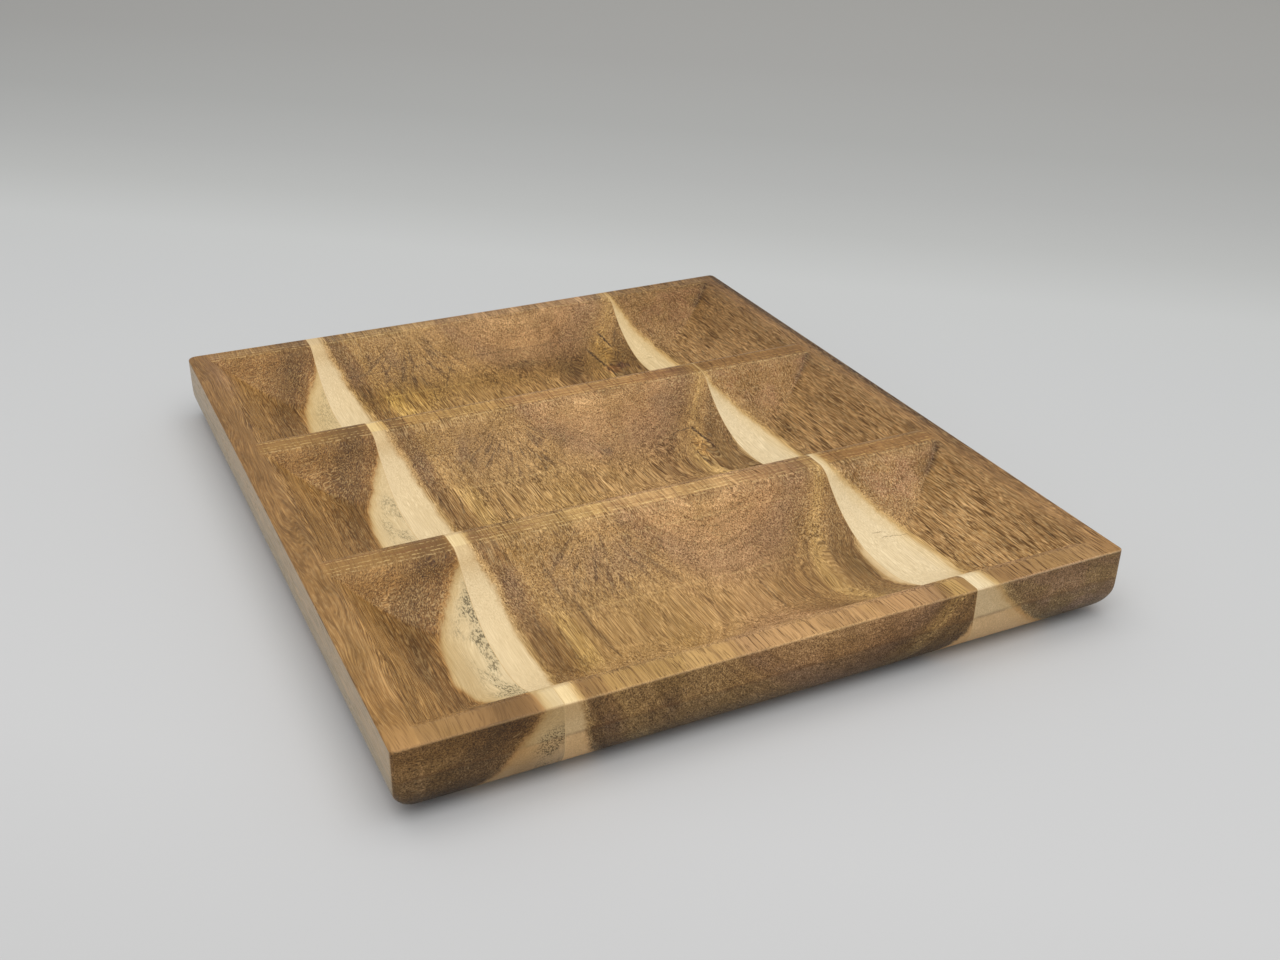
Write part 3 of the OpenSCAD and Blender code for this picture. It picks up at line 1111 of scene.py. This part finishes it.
# a knot in the middle pocket, a smaller one behind it, and old cracks towards the right
knot = centre_wood.spot(13.7, 22.5, 12.0, (3.4, 3.4, 12.0), 0.9)
small_knot = centre_wood.spot(-61.0, 146.0, 22.0, (2.0, 2.0, 10.0), 0.8)
knot = larger(knot, product(small_knot, 0.8))
centre_colour = blended(product(knot, 0.75), centre_colour, tone(92, 64, 48))
stains = (
    ((61.0, 130.0, 14.0), (8.0, 12.0, 10.0), 0.60, (184, 144, 80)),
    ((49.0, 110.0, 8.0), (5.0, 13.0, 8.0), 0.50, (176, 136, 80)),
    ((58.0, 14.0, 9.0), (4.0, 11.0, 8.0), 0.50, (184, 136, 76)),
    ((38.0, 121.0, 9.0), (11.0, 15.0, 10.0), 0.50, (104, 80, 46)),
    ((16.0, 129.5, 12.0), (17.0, 3.0, 9.0), 0.55, (100, 74, 44)),
    ((68.0, -103.0, 8.0), (6.0, 15.0, 9.0), 0.45, (104, 80, 44)),
    ((58.5, 114.0, 8.0), (6.0, 6.0, 9.0), 0.55, (158, 100, 60)),
    ((66.0, 116.0, 9.0), (5.0, 4.5, 9.0), 0.85, (86, 48, 38)),
)
for (stain_x, stain_y, stain_z), reach, strength, stain in stains:
    stained = centre_wood.spot(stain_x, stain_y, stain_z, reach, 0.7)
    centre_colour = blended(product(stained, strength), centre_colour, tone(*stain))
cracks = [
    ((51.8, 132.5), (57.0, 117.0), 1.1, 0.6, 1.0),
    ((57.0, 117.0), (58.2, 105.0), 0.9, 0.3, 0.9),
    ((62.0, 140.5), (66.2, 131.0), 0.9, 0.3, 1.0),
    ((72.5, 141.0), (69.0, 134.0), 0.8, 0.2, 0.6),
    ((-74.0, 138.6), (60.0, 138.6), 0.5, 0.3, 0.45),
    ((-62.0, 108.0), (-58.5, 122.0), 0.8, 0.3, 0.65),
    ((-36.6, 111.0), (-35.0, 123.0), 0.6, 0.2, 0.6),
    ((-28.0, 124.0), (-20.5, 137.0), 0.6, 0.4, 0.6),
    ((-20.0, 103.0), (-20.6, 119.0), 0.6, 0.2, 0.7),
    ((46.0, 23.5), (58.5, 25.8), 0.5, 0.7, 0.8),
    ((58.8, 26.6), (64.4, 11.5), 1.1, 0.7, 1.0),
    ((54.5, 12.0), (54.9, -3.0), 0.8, 0.3, 0.9),
    ((60.0, 12.0), (60.6, -5.0), 0.5, 0.2, 0.6),
    ((46.8, 9.0), (47.3, -8.0), 0.6, 0.2, 0.7),
    ((23.4, 7.0), (23.7, -5.0), 0.5, 0.2, 0.6),
    ((-2.6, 4.0), (-3.8, -10.0), 0.5, 0.2, 0.65),
    ((-8.2, 14.0), (-7.0, -12.0), 0.6, 0.4, 0.5),
    ((-45.0, 9.0), (-46.8, -11.0), 0.65, 0.7, 0.9),
    ((-60.2, 15.0), (-62.4, 2.0), 0.8, 0.4, 0.7),
    ((25.0, -95.0), (25.5, -118.0), 0.6, 0.2, 0.6),
    ((46.0, -90.0), (39.5, -116.0), 0.9, 0.8, 0.35),
    ((59.0, -80.0), (62.6, -90.0), 0.5, 0.2, 0.6),
    ((-67.0, -86.0), (-67.0, -126.0), 1.2, 0.4, 0.40),
    ((-60.4, -95.0), (-60.8, -124.0), 0.6, 0.3, 0.5),
    ((-49.0, -84.0), (-46.6, -122.0), 1.0, 0.6, 0.55),
    ((-17.0, -74.0), (-4.0, -88.0), 1.8, 0.6, 0.30),
]
for crack_start, crack_end, half, sag, strength in cracks:
    crack = centre_wood.line(crack_start, crack_end, half, sag)
    centre_colour = blended(product(crack, strength), centre_colour, tone(66, 42, 24))
on_floor = product(rise(centre_wood.z, 14.0, 9.0), rest(centre_wood.slanted))
centre_lively = times_plus(product(on_floor, rise(centre_wood.y, -40.0, -70.0)), -0.35, 1.05)
centre_tint = one_tint(centre_tints())
centre_material = oiled(
    centre_wood, centre_colour, centre_sapwood, centre_lively, 1.8, 1.2, 0.32, centre_tint)

centre_board = route_pockets(
    board_blank("centre_board_oiled", left_glue_end, right_glue_start), centre_material)
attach(centre_board, "root")
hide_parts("centre_board")

# The right board
# The board on the right, with a wide band of sapwood at its glue line and long dark pores beyond it.
right_wood = Wood("right_board_wood", 145.0, 68.0)
drift = times_plus(right_wood.y, -0.024, -1.0)
right_ring = total(right_wood.ring, total(drift, right_wood.towards_front(2.0, 40.0)))
narrower = product(rise(right_wood.y, -40.0, -12.0), rise(right_wood.z, 14.0, 9.0), -0.3)
right_ring = total(right_ring, narrower)
wider = product(rise(right_wood.y, 120.0, 145.0), rise(right_wood.z, 16.0, 24.0), 1.8)
right_ring = total(right_ring, wider)
right_colour = ring_colours(right_ring, [
    (25, (138, 104, 68)),
    (45, (148, 112, 70)),
    (64, (154, 117, 73)),
    (72, (150, 114, 71)),
    (74.6, (162, 126, 80)),
    (76.2, (204, 168, 110)),
    (78.2, (225, 200, 155)),
    (82, (230, 208, 168)),
    (112, (229, 207, 166)),
])
right_sapwood = rise(right_ring, 74.5, 77.0)
pinkish = product(
    right_wood.slanted, right_wood.patches(12.0, 30.0, 8.0, 0.38, 0.60), rise(right_ring, 74.0, 68.0))
right_colour = blended(product(pinkish, 0.6), right_colour, tone(156, 114, 84))
for back_edge in (round(edge * 1000, 1) for edge in reversed(back_edges)):
    shadow_line = right_wood.line((135.0, back_edge - 1.0), (122.0, back_edge - 12.0), 3.4, 1.2, 1.0)
    right_colour = blended(product(shadow_line, 0.70), right_colour, tone(76, 48, 32))
for crack_start, crack_end in (
    ((86.0, -91.0), (98.0, -93.0)), ((84.0, -88.0), (90.0, -88.8)), ((80.0, 118.0), (84.5, 117.5)),
):
    crack = right_wood.line(crack_start, crack_end, 0.35, 0.4)
    right_colour = blended(product(crack, 0.6), right_colour, tone(120, 92, 56))
# painted shade: a dark band along the right rim's rounded outer edge, where it turns away from the light
painted_edge_shade = product(rise(right_wood.x, 139.8, 141.8), rise(right_wood.y, -95.0, -20.0))
right_colour = blended(product(painted_edge_shade, 0.86), right_colour, tone(76, 56, 40))
right_heart = rest(right_sapwood)
at_back = product(rise(right_wood.y, 80.0, 120.0), right_heart)
at_front = product(rise(right_wood.y, -60.0, -95.0), right_heart, rise(right_wood.x, 100.0, 112.0))


def right_tints():
    """Where the right board is lighter or darker."""
    yield product(at_back, rise(right_wood.z, 12.0, 20.0)), 0.80, 0.76, 0.67
    yield product(at_front, rise(right_wood.z, 28.0, 20.0)), 1.18, 1.22, 1.28
    yield product(right_wood.slanted, rise(right_wood.y, -40.0, -60.0), right_heart), 1.08, 1.12, 1.22
    yield product(right_sapwood, rise(right_wood.y, 80.0, 105.0)), 0.97, 0.93, 0.83
    yield right_wood.on_rim(1), 0.90, 0.85, 0.77
    front_rim = product(right_wood.front_rim, right_wood.flat_top)
    yield product(front_rim, rise(right_wood.x, 96.0, 112.0)), 1.32, 1.40, 1.56
    yield product(right_wood.back_crest, right_heart), 0.91, 0.82, 0.56
    yield product(right_wood.front_crest, right_heart), 1.06, 1.00, 0.82
    yield product(right_wood.end_face, right_heart), 1.06, 1.14, 1.20


right_tint = one_tint(right_tints())
right_material = oiled(right_wood, right_colour, right_sapwood, 1.25, 1.1, 1.45, 0.26, right_tint)

right_board = route_pockets(board_blank("right_board_oiled", right_glue_end, None), right_material)
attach(right_board, "root")
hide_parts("right_board")

# The glue lines
# The two cured films of wood glue between the boards, routed and sanded flush with them.
cured = bpy.data.materials.new("cured_glue")
cured.use_nodes = True
cured.node_tree.nodes["Principled BSDF"].inputs["Base Color"].default_value = tone(206, 172, 118)
for name, start, end in (
    ("left_glue_line", left_glue_start, left_glue_end), ("right_glue_line", right_glue_start, right_glue_end),
):
    film = route_pockets(board_blank(name + "_flush", start, end), cured)
    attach(film, "root")
    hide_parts(name)

# The table and the light
# A pale table top that runs back out of sight, with the studio light's fall-off painted on it as a gradient,
# and soft studio light from above.
table_mesh = bpy.data.meshes.new("table_top")
table_mesh.from_pydata([(-6, -6, 0), (6, -6, 0), (6, 6, 0), (-6, 6, 0)], [], [(0, 1, 2, 3)])
table = bpy.data.objects.new("table_top", table_mesh)
bpy.context.scene.collection.objects.link(table)
table_paint_and_falloff = bpy.data.materials.new("table_paint_and_painted_falloff")
table_paint_and_falloff.use_nodes = True
tree = table_paint_and_falloff.node_tree
painted = tree.nodes["Principled BSDF"]
painted.inputs["Roughness"].default_value = 0.9
painted.inputs["Specular IOR Level"].default_value = 0.2
where = tree.nodes.new("ShaderNodeTexCoord")
split = tree.nodes.new("ShaderNodeSeparateXYZ")
put(split.inputs[0], where.outputs["Object"])
# painted light fall-off: the table's colour is palest round the tray and darker towards the back right, where
# the studio light falls off
away = total(product(split.outputs["X"], 0.62), product(split.outputs["Y"], 0.78))
near_end, far_end = -0.4, 1.6
fall = new_step("ShaderNodeMapRange", away)
fall.inputs["From Min"].default_value = near_end
fall.inputs["From Max"].default_value = far_end
painted_falloff_stops = [
    (-0.30, (0.545, 0.540, 0.532)),
    (-0.20, (0.575, 0.570, 0.562)),
    (0.20, (0.551, 0.551, 0.541)),
    (0.30, (0.547, 0.548, 0.532)),
    (0.40, (0.483, 0.483, 0.464)),
    (0.50, (0.445, 0.443, 0.426)),
    (0.64, (0.416, 0.413, 0.394)),
    (0.90, (0.412, 0.403, 0.381)),
    (1.40, (0.447, 0.434, 0.404)),
]
painted_falloff_stops = [(at, (*colour, 1)) for at, colour in painted_falloff_stops]
put(painted.inputs["Base Color"], colours_along(fall.outputs[0], near_end, far_end, painted_falloff_stops))
table_mesh.materials.append(table_paint_and_falloff)

world = bpy.data.worlds.new("studio")
bpy.context.scene.world = world
world.use_nodes = True
world.node_tree.nodes["Background"].inputs["Color"].default_value = (0.95, 0.97, 1, 1)
world.node_tree.nodes["Background"].inputs["Strength"].default_value = 0.57


def soft_box(name, place, aim, size, power):
    """A square studio lamp that looks at a point."""
    data = bpy.data.lights.new(name, "AREA")
    data.size = size
    data.energy = power
    lamp = bpy.data.objects.new(name, data)
    bpy.context.scene.collection.objects.link(lamp)
    lamp.location = place
    direction = Vector(aim) - lamp.location
    lamp.rotation_mode = "QUATERNION"
    lamp.rotation_quaternion = direction.to_track_quat("-Z", "Y")


soft_box("overhead", (-0.12, -0.25, 1.6), (0, 0, 0), 2.0, 22)

bpy.context.scene.view_settings.view_transform = "Standard"
